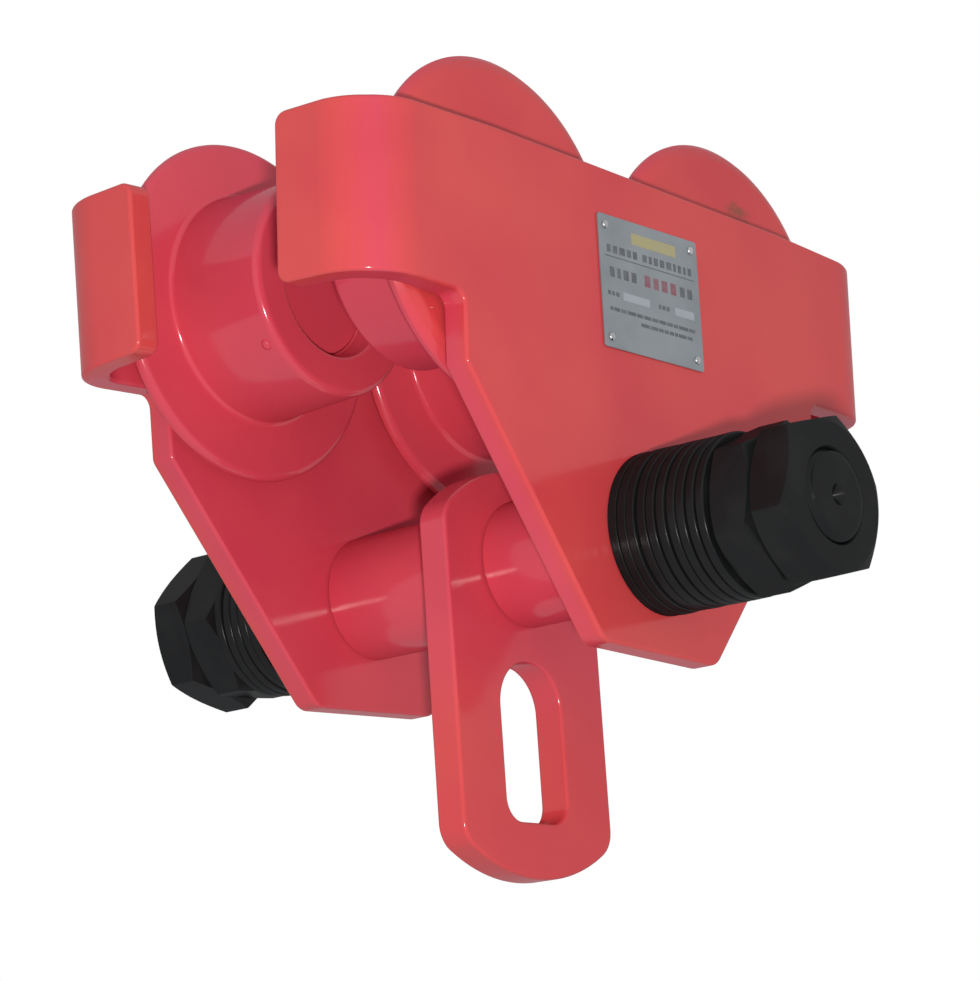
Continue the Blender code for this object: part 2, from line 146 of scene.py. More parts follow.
# load bar and its stacks
SLEEVE_R = 25.0 * MM
SLEEVE_BORE_R = 18.4 * MM
SLEEVE_ROUND = 0.9 * MM
SLEEVE_BORE_ROUND = 0.5 * MM
WASHER_R = 31.5 * MM
WASHER_BORE_R = 18.5 * MM
WASHER_BORE_ROUND = 0.3 * MM
WASHER_ROUND = 0.35 * MM
WASHER_ROUND_STEP = 0.05 * MM                 # what each washer further out is rounder
WASHER_PLAY = 0.55 * MM
WASHER_SLIDE = {"near": 0.30 * MM, "far": 0.12 * MM}
STACK_SEGMENTS = 96
BAR_TIP_ROUND = Vector((4.2 * MM, 2.6 * MM))  # across and along the bar
CENTRE_MARK = ((4.3, 0.0), (4.1, 0.12), (1.2, 3.8), (1.1, 5.0))     # radius and depth in mm
THREAD_PITCH = 3.0 * MM
THREAD_DEPTH = 1.6 * MM
THREAD_INNER_Y = 79.0 * MM
NUT_FLATS = 57.8 * MM
NUT_FACE_R = 28.0 * MM
NUT_BORE_R = 17.9 * MM
NUT_LIP = 0.7 * MM
NUT_CORNER_ROUND = 0.9 * MM
NUT_CHAMFER = math.radians(28.0)
NUT_FLAT_STEPS = 14
NUT_FLAT_LEAST = 5.0 * MM                     # shorter sides belong to a rounded corner
NUT_TURNS = {"near_inner": 26.0, "near_outer": 16.0, "far_inner": 5.0, "far_outer": 47.0}

# hanger, heights from the load bar's axis
HANGER_Y = centre_of("hanger_plate").y
HANGER_T = 13.5 * MM
HANGER_HALF_WIDTH = 45.0 * MM
HANGER_TOP_Z = 37.0 * MM
HANGER_TOP_R = 62.0 * MM
HANGER_BOTTOM_Z = -123.0 * MM
HANGER_BOTTOM_R = 76.0 * MM
HANGER_CORNER_R = 12.0 * MM
HANGER_BORE_R = 18.6 * MM
HANGER_TURN = math.radians(-3.0)
HANGER_EDGE = 1.5 * MM
SLOT_HALF_WIDTH = 18.0 * MM
SLOT_TOP_Z = -38.5 * MM
SLOT_BOTTOM_Z = -101.0 * MM
SLOT_BOTTOM_ROUND = 9.0 * MM
CLOSE_TOGETHER = 0.002 * MM                   # points nearer than this are one point

# where the painted shade between the plates turns into the lit tone of the outward faces
PAINTED_SHADE_ENDS_Y = 6.0 * MM                      # depth of the turn at an outer face
PAINTED_SHADE_ENDS_Z = 85.0 * MM                     # start below the model's origin, on the hanger
PAINTED_SHADE_ENDS_OVER = 60.0 * MM                  # length of the turn on the hanger

# marks in the paint: a rusty spot on a wheel flange, and a drop that ran on a tread
STAIN_PLACE = Vector((80.6 * MM, -FLANGE_OUTER_Y, 88.4 * MM))
STAIN_R = 10.5 * MM
STAIN_FLATNESS = Vector((1.0, 1.0, 1.9))
DROP_Y = 19.8 * MM
DROP_ANGLE = math.radians(-138.0)
DROP_SIZE = Vector((1.4 * MM, 2.0 * MM, 2.3 * MM))

# data plate
LABEL_CENTRE = Vector((2.5 * MM, 96.5 * MM))
LABEL_SIZE = Vector((62.5 * MM, 53.0 * MM))
LABEL_TURN = math.radians(1.8)
LABEL_BACK_Y = -PLATE_OUTER_Y - 0.1 * MM
LABEL_T = 0.8 * MM
RIVET_INSET = 4.2 * MM
LABEL_CORNER_ROUND = 1.2 * MM
LABEL_EDGE = 0.2 * MM
PRINT_T = 0.04 * MM
PRINT_MARGIN = 4.5 * MM
RIVET_R = 1.7 * MM
RIVET_RISE = 1.05 * MM
RIVET_LIFT = 0.05 * MM

# colours, linear
# the first two enamel tones are painted shade and bounced light between the plates, deeper and
# cooler; the next two are the lit tones of the outward faces, warmer
ENAMEL_IN_PAINTED_SHADE = (0.61, 0.060, 0.090)
ENAMEL_DEEP_IN_PAINTED_SHADE = (0.56, 0.047, 0.081)
ENAMEL_LIT_OUTSIDE = (0.62, 0.067, 0.065)
ENAMEL_DEEP_LIT_OUTSIDE = (0.57, 0.049, 0.058)
RUST = (0.29, 0.066, 0.042)
BLACK = (0.0085, 0.0090, 0.0096)
BLACK_WORN = (0.0150, 0.0155, 0.0160)
STEEL = (0.42, 0.42, 0.43)
STEEL_DARK = (0.30, 0.30, 0.31)
TIN = (0.235, 0.258, 0.275)
TIN_DULL = (0.19, 0.212, 0.23)
INK = (0.065, 0.070, 0.080)
RED_INK = (0.20, 0.050, 0.075)
YELLOW_INK = (0.36, 0.32, 0.14)
PALE_INK = (0.33, 0.35, 0.38)
FLOOR_COLOUR = (0.62, 0.62, 0.62)
COAT_IOR = 1.8

# camera and light
CAMERA_POSITION = Vector((-1.0488, -0.8661, -0.3809))
CAMERA_AZIMUTH = math.radians(-50.37)
CAMERA_ELEVATION = math.radians(-14.43)
CAMERA_ROLL = math.radians(1.97)
FOCAL_PIXELS = 3556.0
IMAGE_LONG_SIDE = 981.0
SENSOR_MM = 36.0
LAMP_POSITION = Vector((-0.945, -0.815, -0.430))
LAMP_SIZE = 0.07
LAMP_POWER = 13.2
LAMP_COLOUR = (1.0, 0.96, 0.90)
AMBIENT = 0.60
AMBIENT_COLOUR = (0.96, 1.0, 1.08)
FLOOR_Z = -1.6
FLOOR_LIFT = 0.6
FLOOR_HALF = 12.0


def noise(tree, scale, detail, place):
    node = tree.nodes.new("ShaderNodeTexNoise")
    node.inputs["Scale"].default_value = scale
    node.inputs["Detail"].default_value = detail
    tree.links.new(place, node.inputs["Vector"])
    return node.outputs["Fac"]


def mix_by_noise(tree, colour_a, colour_b, scale, detail, place, low=0.35, high=0.65):
    """Colour that wanders between two values with the object's own coordinates."""
    ramp = tree.nodes.new("ShaderNodeValToRGB")
    ramp.color_ramp.elements[0].position = low
    ramp.color_ramp.elements[0].color = (*colour_a, 1.0)
    ramp.color_ramp.elements[1].position = high
    ramp.color_ramp.elements[1].color = (*colour_b, 1.0)
    tree.links.new(noise(tree, scale, detail, place), ramp.inputs["Fac"])
    return ramp.outputs["Color"]


def range_by_noise(tree, scale, detail, place, low, high):
    """Number that wanders between two values with the object's own coordinates."""
    span = tree.nodes.new("ShaderNodeMapRange")
    span.inputs["From Min"].default_value = 0.3
    span.inputs["From Max"].default_value = 0.7
    span.inputs["To Min"].default_value = low
    span.inputs["To Max"].default_value = high
    tree.links.new(noise(tree, scale, detail, place), span.inputs["Value"])
    return span.outputs["Result"]


def bump_by_noise(tree, scale, detail, place, distance, strength, under=None):
    """Bump from noise, laid over another bump where one is given."""
    bump = tree.nodes.new("ShaderNodeBump")
    bump.inputs["Distance"].default_value = distance
    bump.inputs["Strength"].default_value = strength
    tree.links.new(noise(tree, scale, detail, place), bump.inputs["Height"])
    if under is not None:
        tree.links.new(under, bump.inputs["Normal"])
    return bump.outputs["Normal"]


def stretched(tree, place, scale):
    mapping = tree.nodes.new("ShaderNodeMapping")
    mapping.inputs["Scale"].default_value = scale
    tree.links.new(place, mapping.inputs["Vector"])
    return mapping.outputs["Vector"]


def new_material(name):
    mat = bpy.data.materials.new(name)
    mat.use_nodes = True
    tree = mat.node_tree
    shader = tree.nodes["Principled BSDF"]
    place = tree.nodes.new("ShaderNodeTexCoord").outputs["Object"]
    return mat, tree, shader, place


def coated(shader, weight, roughness):
    """Thin, strong clear coat: a sharp highlight with little haze where a face is seen edge on."""
    shader.inputs["Coat Weight"].default_value = weight
    shader.inputs["Coat Roughness"].default_value = roughness
    shader.inputs["Coat IOR"].default_value = COAT_IOR
    shader.inputs["Specular IOR Level"].default_value = 0.0


def two_colours(tree, factor, colour_a, colour_b):
    mix = tree.nodes.new("ShaderNodeMix")
    mix.data_type = "RGBA"
    tree.links.new(factor, mix.inputs["Factor"])
    tree.links.new(colour_a, mix.inputs["A"])
    tree.links.new(colour_b, mix.inputs["B"])
    return mix.outputs["Result"]


def one_value(tree, operation, first, second=None):
    node = tree.nodes.new("ShaderNodeMath")
    node.operation = operation
    for socket, value in zip(node.inputs, (first, second)):
        if isinstance(value, float):
            socket.default_value = value
        elif value is not None:
            tree.links.new(value, socket)
    return node.outputs["Value"]


def rises(tree, value, start, end):
    """0 below start, 1 above end, smooth between."""
    span = tree.nodes.new("ShaderNodeMapRange")
    span.interpolation_type = "SMOOTHSTEP"
    span.inputs["From Min"].default_value = start
    span.inputs["From Max"].default_value = end
    tree.links.new(value, span.inputs["Value"])
    return span.outputs["Result"]


def lit_outside_share(tree, place, outer_y):
    """Mask of the painted shade: 1 on outward faces, on the bumpers and low on the hanger, where
    the lit tone goes, 0 between the plates, where the shaded tone is painted.
    """
    split = tree.nodes.new("ShaderNodeSeparateXYZ")
    tree.links.new(place, split.inputs["Vector"])
    x, y, z = split.outputs
    beside, ahead = one_value(tree, "ABSOLUTE", y), one_value(tree, "ABSOLUTE", x)
    below = one_value(tree, "MULTIPLY", z, -1.0)
    across = rises(tree, beside, outer_y - PAINTED_SHADE_ENDS_Y, outer_y)
    along = rises(tree, ahead, PLATE_HALF_LENGTH - PLATE_T, PLATE_HALF_LENGTH)
    down = rises(tree, below, PAINTED_SHADE_ENDS_Z, PAINTED_SHADE_ENDS_Z + PAINTED_SHADE_ENDS_OVER)
    return one_value(tree, "MAXIMUM", one_value(tree, "MAXIMUM", across, along), down)


def stained(tree, place, stain, colour):
    """Lets rust show through a colour round the place of a stain, with a ragged soft edge."""
    flat = tree.nodes.new("ShaderNodeVectorMath")
    flat.operation = "MULTIPLY"
    flat.inputs[1].default_value = STAIN_FLATNESS
    tree.links.new(place, flat.inputs[0])
    reach = tree.nodes.new("ShaderNodeVectorMath")
    reach.operation = "DISTANCE"
    reach.inputs[1].default_value = [p * f for p, f in zip(stain, STAIN_FLATNESS)]
    tree.links.new(flat.outputs["Vector"], reach.inputs[0])
    ragged = range_by_noise(tree, 200.0, 4.0, place, -0.35 * STAIN_R, 0.35 * STAIN_R)
    edge = one_value(tree, "ADD", reach.outputs["Value"], ragged)
    clear = rises(tree, edge, 0.2 * STAIN_R, STAIN_R)
    rust = mix_by_noise(tree, RUST, ENAMEL_DEEP_LIT_OUTSIDE, 350.0, 3.0, place, 0.45, 0.9)
    return two_colours(tree, clear, rust, colour)


def enamel(name, outer_y, stain=None):
    """Thick glossy red enamel with painted shade: a deeper, cooler red between the plates paints
    the shade and bounced light there, and a warmer red on the outward faces paints the lit side.
    It has upright runs, soft waves and fine orange peel. A stain is a place where rust shows
    through."""
    mat, tree, shader, place = new_material(name)
    # painted shade: the first tone stands for the shade and bounced light between the plates, the
    # second for the lit outward faces
    shaded_tone = mix_by_noise(tree, ENAMEL_DEEP_IN_PAINTED_SHADE, ENAMEL_IN_PAINTED_SHADE, 14.0, 3.0, place)
    lit_tone = mix_by_noise(tree, ENAMEL_DEEP_LIT_OUTSIDE, ENAMEL_LIT_OUTSIDE, 14.0, 3.0, place)
    colour = two_colours(tree, lit_outside_share(tree, place, outer_y), shaded_tone, lit_tone)
    if stain is not None:
        colour = stained(tree, place, stain, colour)
    tree.links.new(colour, shader.inputs["Base Color"])
    rough = range_by_noise(tree, 30.0, 2.0, place, 0.30, 0.40)
    tree.links.new(rough, shader.inputs["Roughness"])
    runs = stretched(tree, place, (170.0, 170.0, 7.0))
    sagging = bump_by_noise(tree, 1.0, 1.0, runs, 0.10 * MM, 0.22)
    waves = bump_by_noise(tree, 35.0, 1.0, place, 0.5 * MM, 0.22, sagging)
    peel = bump_by_noise(tree, 420.0, 1.0, place, 0.05 * MM, 0.16, waves)
    tree.links.new(peel, shader.inputs["Normal"])
    tree.links.new(peel, shader.inputs["Coat Normal"])
    coated(shader, 0.28, 0.14)
    return mat


def blackened():
    """Blackened, oiled steel: almost black, a little paler where it has been handled."""
    mat, tree, shader, place = new_material("blackened_steel")
    colour = mix_by_noise(tree, BLACK, BLACK_WORN, 55.0, 6.0, place, 0.45, 0.85)
    tree.links.new(colour, shader.inputs["Base Color"])
    rough = range_by_noise(tree, 90.0, 5.0, place, 0.20, 0.34)
    tree.links.new(rough, shader.inputs["Roughness"])
    dents = bump_by_noise(tree, 230.0, 2.0, place, 0.15 * MM, 0.35)
    grain = bump_by_noise(tree, 900.0, 3.0, place, 0.04 * MM, 0.5, dents)
    tree.links.new(grain, shader.inputs["Normal"])
    tree.links.new(dents, shader.inputs["Coat Normal"])
    coated(shader, 0.11, 0.24)
    return mat


def bright_steel():
    """Bare bearing steel, a little uneven in tone and gloss."""
    mat, tree, shader, place = new_material("bright_steel")
    colour = mix_by_noise(tree, STEEL_DARK, STEEL, 80.0, 4.0, place)
    tree.links.new(colour, shader.inputs["Base Color"])
    rough = range_by_noise(tree, 60.0, 4.0, place, 0.25, 0.38)
    tree.links.new(rough, shader.inputs["Roughness"])
    shader.inputs["Metallic"].default_value = 1.0
    return mat


def tin():
    """Rolled grey tin of the data plate, with a fine brushed grain along it."""
    mat, tree, shader, place = new_material("grey_tin")
    colour = mix_by_noise(tree, TIN_DULL, TIN, 40.0, 4.0, place, 0.3, 0.6)
    tree.links.new(colour, shader.inputs["Base Color"])
    along = stretched(tree, place, (40.0, 40.0, 1400.0))
    grain = bump_by_noise(tree, 1.0, 2.0, along, 0.02 * MM, 0.35)
    tree.links.new(grain, shader.inputs["Normal"])
    rough = range_by_noise(tree, 120.0, 3.0, place, 0.38, 0.5)
    tree.links.new(rough, shader.inputs["Roughness"])
    shader.inputs["Metallic"].default_value = 0.35
    return mat


def ink(name, colour):
    """Thin worn print of the data plate's form."""
    mat, tree, shader, place = new_material(name)
    worn = tuple(0.75 * c + 0.25 * t for c, t in zip(colour, TIN))
    patchy = mix_by_noise(tree, colour, worn, 300.0, 3.0, place)
    tree.links.new(patchy, shader.inputs["Base Color"])
    shader.inputs["Roughness"].default_value = 0.5
    return mat


def in_scene(name, data):
    ob = bpy.data.objects.new(name, data)
    bpy.context.scene.collection.objects.link(ob)
    return ob


def drawn(bm, name, mat, body, nodes, sharp_angle=28.0):
    """Makes a bmesh a smooth-shaded piece that rides on a body and stands for its CAD nodes."""
    bmesh.ops.recalc_face_normals(bm, faces=bm.faces)
    mesh = bpy.data.meshes.new(name)
    bm.to_mesh(mesh)
    bm.free()
    mesh.materials.append(mat)
    mesh.shade_smooth()
    mesh.set_sharp_from_angle(angle=math.radians(sharp_angle))
    piece = in_scene(name, mesh)
    weigh = piece.modifiers.new("even_normals", "WEIGHTED_NORMAL")
    weigh.keep_sharp = True
    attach(piece, body)
    if nodes:
        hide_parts(*nodes)
    return piece


def rounded(points, radii, steps=5):
    """Closed polygon with each corner replaced by an arc of the given radius."""
    out = []
    n = len(points)
    for i in range(n):
        p = Vector(points[i])
        r = radii[i]
        if r <= 0.0:
            out.append(tuple(p))
            continue
        a = (Vector(points[i - 1]) - p).normalized()
        b = (Vector(points[(i + 1) % n]) - p).normalized()
        half = a.angle(b) / 2.0
        reach = r / math.tan(half)
        centre = p + (a + b).normalized() * (r / math.sin(half))
        start = p + a * reach - centre
        end = p + b * reach - centre
        sweep = start.angle_signed(end)
        for k in range(steps + 1):
            v = start.copy()
            v.rotate(Matrix.Rotation(-sweep * k / steps, 2))
            out.append(tuple(centre + v))
    return out


def revolve(profile, segments, centre, phase=0.0):
    """Closed (radius, y) profile turned about an axis along Y through centre (x, z)."""
    bm = bmesh.new()
    rings = []
    poles = {}
    for j, (r, y) in enumerate(profile):
        if r <= 0.0:
            poles[j] = bm.verts.new((centre[0], y, centre[1]))
    for i in range(segments):
        c = math.cos(phase + TAU * i / segments)
        s = math.sin(phase + TAU * i / segments)
        ring = []
        for j, (r, y) in enumerate(profile):
            if j in poles:
                ring.append(poles[j])
            else:
                ring.append(bm.verts.new((centre[0] + r * c, y, centre[1] + r * s)))
        rings.append(ring)
    n = len(profile)
    for i in range(segments):
        a, b = rings[i], rings[(i + 1) % segments]
        for j in range(n):
            k = (j + 1) % n
            loop = []
            for v in (a[j], a[k], b[k], b[j]):
                if v not in loop:
                    loop.append(v)
            if len(loop) > 2:
                bm.faces.new(loop)
    return bm


def plug(radius, y0, y1):
    """Section of a solid round tool, for revolve."""
    return [(0.0, y0), (radius, y0), (radius, y1), (0.0, y1)]


def tube(inner_r, outer_r, y0, y1, inner_round, outer_round, steps):
    """Section of a tube with rounded edges, for revolve."""
    corners = [(inner_r, y0), (outer_r, y0), (outer_r, y1), (inner_r, y1)]
    return rounded(corners, [inner_round, outer_round, outer_round, inner_round], steps)


def prism(outline, y0, y1):
    """Outline in (x, z) pushed out along Y."""
    bm = bmesh.new()
    a = [bm.verts.new((x, y0, z)) for x, z in outline]
    b = [bm.verts.new((x, y1, z)) for x, z in outline]
    n = len(outline)
    bm.faces.new(a)
    bm.faces.new(list(reversed(b)))
    for i in range(n):
        j = (i + 1) % n
        bm.faces.new((a[i], b[i], b[j], a[j]))
    return bm


def worked(bm, work):
    """Passes a bmesh through the modifiers that the given function adds."""
    bmesh.ops.recalc_face_normals(bm, faces=bm.faces)
    mesh = bpy.data.meshes.new("work")
    bm.to_mesh(mesh)
    bm.free()
    ob = in_scene("work", mesh)
    tools = work(ob) or []
    deps = bpy.context.evaluated_depsgraph_get()
    result = bpy.data.meshes.new_from_object(ob.evaluated_get(deps))
    out = bmesh.new()
    out.from_mesh(result)
    for extra in [ob] + tools:
        old = extra.data
        bpy.data.objects.remove(extra, do_unlink=True)
        bpy.data.meshes.remove(old)
    bpy.data.meshes.remove(result)
    return out


def round_edges(bm, width, segments, over_degrees=35.0):
    def work(ob):
        mod = ob.modifiers.new("edge", "BEVEL")
        mod.width = width
        mod.segments = segments
        mod.limit_method = "ANGLE"
        mod.angle_limit = math.radians(over_degrees)
        mod.use_clamp_overlap = True
        mod.miter_outer = "MITER_ARC"
    return worked(bm, work)


def cut_away(bm, tool_bms):
    def work(ob):
        tools = []
        for tool_bm in tool_bms:
            bmesh.ops.recalc_face_normals(tool_bm, faces=tool_bm.faces)
            mesh = bpy.data.meshes.new("tool")
            tool_bm.to_mesh(mesh)
            tool_bm.free()
            tool = in_scene("tool", mesh)
            mod = ob.modifiers.new("cut", "BOOLEAN")
            mod.operation = "DIFFERENCE"
            mod.solver = "EXACT"
            mod.object = tool
            tools.append(tool)
        return tools
    return worked(bm, work)


def plate_blank():
    """Flat blank of a side plate: length along the sheet against height from the load bar."""
    half_bend = (BEND_OUTER_R - PLATE_T / 2.0) * BEND_ANGLE / 2.0
    fold = (PLATE_HALF_LENGTH - BEND_OUTER_R) + half_bend
    end = fold + half_bend + BEND_TAIL
    right = [
        (TOP_FALL_X, PLATE_TOP_Z), (fold, PLATE_TOP_Z - FOLD_DIP), (end, PLATE_TOP_Z - END_DIP),
        (end, BUMPER_BOTTOM_Z + END_LIFT), (fold, BUMPER_BOTTOM_Z), (NOTCH_X, BUMPER_BOTTOM_Z),
        (NOTCH_X, NOTCH_Z), (BOTTOM_HALF_WIDTH, PLATE_BOTTOM_Z),
    ]
    radii = [
        0.0, 0.0, FREE_CORNER_ROUND,
        FREE_CORNER_ROUND, 0.0, NOTCH_FILLET,
        SHOULDER_ROUND, BOTTOM_ROUND,
    ]
    left = [(-x, z) for x, z in reversed(right)]
    return rounded(right + left, radii + list(reversed(radii)), 8)


def folded_place(s, across):
    """Place on the folded sheet: s along its middle line, across it outward positive."""
    side = 1.0 if s >= 0.0 else -1.0
    straight = PLATE_HALF_LENGTH - BEND_OUTER_R
    middle_r = BEND_OUTER_R - PLATE_T / 2.0
    along = abs(s)
    if along <= straight:
        return side * along, (PLATE_OUTER_Y - PLATE_T / 2.0) + across
    angle = min((along - straight) / middle_r, BEND_ANGLE)
    tail = max(0.0, along - straight - BEND_ANGLE * middle_r)
    r = middle_r + across
    x = straight + r * math.sin(angle) + tail * math.cos(angle)
    y = (PLATE_OUTER_Y - BEND_OUTER_R) + r * math.cos(angle) - tail * math.sin(angle)
    return side * x, y


def side_plate(name, body, side, turn, mat):
    """Folded side plate with rounded edges. side -1 is the near plate."""
    bm = prism(plate_blank(), -PLATE_T / 2.0, PLATE_T / 2.0)
    straight = PLATE_HALF_LENGTH - BEND_OUTER_R
    arc_length = BEND_ANGLE * (BEND_OUTER_R - PLATE_T / 2.0)
    for i in range(BEND_STEPS + 1):
        s = straight + arc_length * i / BEND_STEPS
        for sign in (-1.0, 1.0):
            geom = bm.verts[:] + bm.edges[:] + bm.faces[:]
            bmesh.ops.bisect_plane(bm, geom=geom, dist=1e-6, plane_co=(sign * s, 0.0, 0.0),
                                   plane_no=(1.0, 0.0, 0.0))
    bm = round_edges(bm, PLATE_EDGE, 4)
    tools = [revolve(plug(PLATE_HOLE_R, -PLATE_HOLE_REACH, PLATE_HOLE_REACH), 72, (0.0, 0.0))]
    inner = -PLATE_T / 2.0
    seat = plug(AXLE_SEAT_R, inner - AXLE_SEAT_OVERRUN, inner + AXLE_SEAT_DEPTH)
    for sx in (-1.0, 1.0):
        tools.append(revolve(seat, 48, (sx * WHEEL_X, WHEEL_Z)))
    bm = cut_away(bm, tools)
    for v in bm.verts:
        x, y = folded_place(v.co.x, v.co.y)
        v.co = Vector((x, side * y, v.co.z))
    place = Matrix.Translation((0.0, 0.0, BAR_Z)) @ Matrix.Rotation(turn, 4, "Y")
    bmesh.ops.transform(bm, matrix=place, verts=bm.verts)
    return drawn(bm, name + "_enamelled", mat, body, [name])


def wheel_profile():
    """Half section of a wheel as (radius, distance from the middle plane, corner radius)."""
    floor_y = WHEEL_END_Y + RECESS_DEPTH
    cap_back = floor_y + CAP_T + FINE_ROUND
    bearing_back = cap_back + BEARING_SEAT_W
    return [
        (HUB_BORE_R, FLANGE_OUTER_Y, FINE_ROUND),
        (FLANGE_R - 6.0 * MM, FLANGE_OUTER_Y, 7.0 * MM),
        (FLANGE_R - 2.2 * MM, FLANGE_OUTER_Y - 1.8 * MM, 4.0 * MM),
        (FLANGE_R, FLANGE_OUTER_Y - 4.2 * MM, FINE_ROUND),
        (FLANGE_R, FLANGE_INNER_Y, 3.2 * MM),
        (TREAD_R_OUTER + 0.2 * MM, FLANGE_INNER_Y - 1.4 * MM, 2.2 * MM),
        (TREAD_R_INNER, WHEEL_END_Y, TREAD_END_FILLET),
        (RECESS_R, WHEEL_END_Y, RECESS_RIM_FILLET),
        (RECESS_FLOOR_R + 0.6 * MM, floor_y + 0.2 * MM, 1.2 * MM),
        (RECESS_FLOOR_R, floor_y + 0.9 * MM, 0.0),
        (RECESS_FLOOR_R, cap_back, 0.0),
        (BEARING_SEAT_R, cap_back, 0.0),
        (BEARING_SEAT_R, bearing_back, 0.0),
        (HUB_BORE_R, bearing_back, 0.0),
    ]


def wheel(name, body, side, mat):
    centre = WHEEL_CENTRES[name]
    section = wheel_profile()
    fillets = [fillet for r, y, fillet in section]
    outline = rounded([(r, y) for r, y, fillet in section], fillets, 6)
    bm = revolve([(r, side * y) for r, y in outline], WHEEL_SEGMENTS, (centre.x, centre.z))
    drawn(bm, name + "_wheel_enamelled", mat, body, [name + "_wheel"])

    floor_y = WHEEL_END_Y + RECESS_DEPTH
    disc = plug(RECESS_FLOOR_R - CAP_PLAY, floor_y, floor_y + CAP_T)
    cap = rounded(disc, [0.0, CAP_ROUND, 0.0, 0.0], 5)
    bm = revolve([(r, side * y) for r, y in cap], WHEEL_SEGMENTS, (centre.x, centre.z))
    drawn(bm, name + "_hub_cap_enamelled", mat, body, [name + "_hub_cap"])


def paint_drop(name, body, side, mat):
    """Flat drop of enamel that ran down a tread and dried there."""
    centre = WHEEL_CENTRES[name]
    bm = bmesh.new()
    bmesh.ops.create_uvsphere(bm, u_segments=32, v_segments=16, radius=1.0)
    place = (Matrix.Translation((centre.x, side * DROP_Y, centre.z))
             @ Matrix.Rotation(-DROP_ANGLE, 4, "Y")
             @ Matrix.Translation((TREAD_R_INNER + 0.1 * MM, 0.0, 0.0))
             @ Matrix.Diagonal((*DROP_SIZE, 1.0)))
    bmesh.ops.transform(bm, matrix=place, verts=bm.verts)
    drawn(bm, name + "_wheel_paint_drop", mat, body, [])


def sleeve(name, mat):
    low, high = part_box(name)
    outline = tube(SLEEVE_BORE_R, SLEEVE_R, low.y, high.y, SLEEVE_BORE_ROUND, SLEEVE_ROUND, 4)
    bm = revolve(outline, STACK_SEGMENTS, (0.0, BAR_Z))
    drawn(bm, name + "_enamelled", mat, "near_frame", [name])


def washer(name, drift, mat):
    """Loose washer: it hangs a little off centre and lies nearer to one of its neighbours."""
    low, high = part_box(name)
    slide = drift.uniform(-1.0, 1.0) * WASHER_SLIDE[name.split("_")[0]]
    back, front = low.y + slide, high.y + slide
    edge = WASHER_ROUND + int(name.split("_")[-1]) * WASHER_ROUND_STEP
    outline = tube(WASHER_BORE_R, WASHER_R, back, front, WASHER_BORE_ROUND, edge, 5)
    angle = drift.uniform(0.0, TAU)
    play = drift.uniform(0.2, 1.0) * WASHER_PLAY
    centre = (play * math.cos(angle), BAR_Z + play * math.sin(angle))
    bm = revolve(outline, STACK_SEGMENTS, centre, drift.uniform(0.0, TAU))
    drawn(bm, name + "_blackened", mat, "near_frame", [name])


def hexagon_nut(name, turn_deg, mat):
    """Hexagon nut: flats, cone chamfers that cut the corners in arcs, and a countersunk bore."""
    low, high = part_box(name + "_nut")
    corner = NUT_FLATS / 2.0 / math.cos(math.pi / 6.0)
    turn = math.radians(turn_deg)
    angles = [turn - k * math.pi / 3.0 for k in range(6)]
    hexagon = [(corner * math.cos(a), corner * math.sin(a)) for a in angles]
    ring = []
    rounded_ring = rounded(hexagon, [NUT_CORNER_ROUND] * 6, 4)
    for i, p in enumerate(rounded_ring):
        q = rounded_ring[(i + 1) % len(rounded_ring)]
        a, b = Vector(p), Vector(q)
        count = NUT_FLAT_STEPS if (b - a).length > NUT_FLAT_LEAST else 1
        ring += [a.lerp(b, k / count) for k in range(count)]
    slope = math.tan(NUT_CHAMFER)
    lip = NUT_LIP
    bm = bmesh.new()
    columns = []
    for p in ring:
        out = p.normalized()
        drop = (p.length - NUT_FACE_R) * slope
        stations = [
            (out * NUT_BORE_R, low.y + lip), (out * (NUT_BORE_R + lip), low.y),
            (out * (NUT_FACE_R - 0.25 * MM), low.y),
            (out * (NUT_FACE_R + 0.2 * MM), low.y + 0.12 * MM),
            (p, low.y + drop), (p, high.y - drop),
            (out * (NUT_FACE_R + 0.2 * MM), high.y - 0.12 * MM),
            (out * (NUT_FACE_R - 0.25 * MM), high.y),
            (out * (NUT_BORE_R + lip), high.y), (out * NUT_BORE_R, high.y - lip),
        ]
        columns.append([bm.verts.new((q.x, y, BAR_Z + q.y)) for q, y in stations])
    for i, column in enumerate(columns):
        beside = columns[(i + 1) % len(columns)]
        n = len(column)
        for j in range(n):
            k = (j + 1) % n
            bm.faces.new((column[j], column[k], beside[k], beside[j]))
    node = name + "_nut"
    drawn(bm, node + "_blackened", mat, "near_frame", [node], 22.0)


def threaded_end(bm, y_inner, y_end, segments=72, rows_per_turn=6):
    """Adds one threaded end of the load bar, from the plain shank to the rounded tip."""
    sense = 1.0 if y_end > y_inner else -1.0
    length = abs(y_end - y_inner)
    turns = length / THREAD_PITCH + 1.0
    rows = int(turns * rows_per_turn) + 1

    def radius(along, phase):
        wave = abs(2.0 * (phase - math.floor(phase)) - 1.0)
        depth = THREAD_DEPTH * min(1.0, max(0.0, 1.35 * wave - 0.15))
        start = min(1.0, along / (1.5 * THREAD_PITCH))
        r = BAR_R - depth * start
        inset = max(0.0, 1.0 - (length - along) / BAR_TIP_ROUND.y)
        return min(r, BAR_R - BAR_TIP_ROUND.x * (1.0 - math.sqrt(1.0 - inset ** 2)))

    grid = []
    for j in range(rows + 1):
        row = []
        for k in range(segments + 1):
            raw = (j / rows_per_turn - 1.0 + k / segments) * THREAD_PITCH
            along = min(max(raw, 0.0), length)
            phase = j / rows_per_turn
            r = radius(along, phase)
            a = TAU * k / segments
            place = (r * math.cos(a), y_inner + sense * along, BAR_Z + r * math.sin(a))
            row.append(bm.verts.new(place))
        grid.append(row)
    for j in range(rows):
        for k in range(segments):
            bm.faces.new((grid[j][k], grid[j][k + 1], grid[j + 1][k + 1], grid[j + 1][k]))


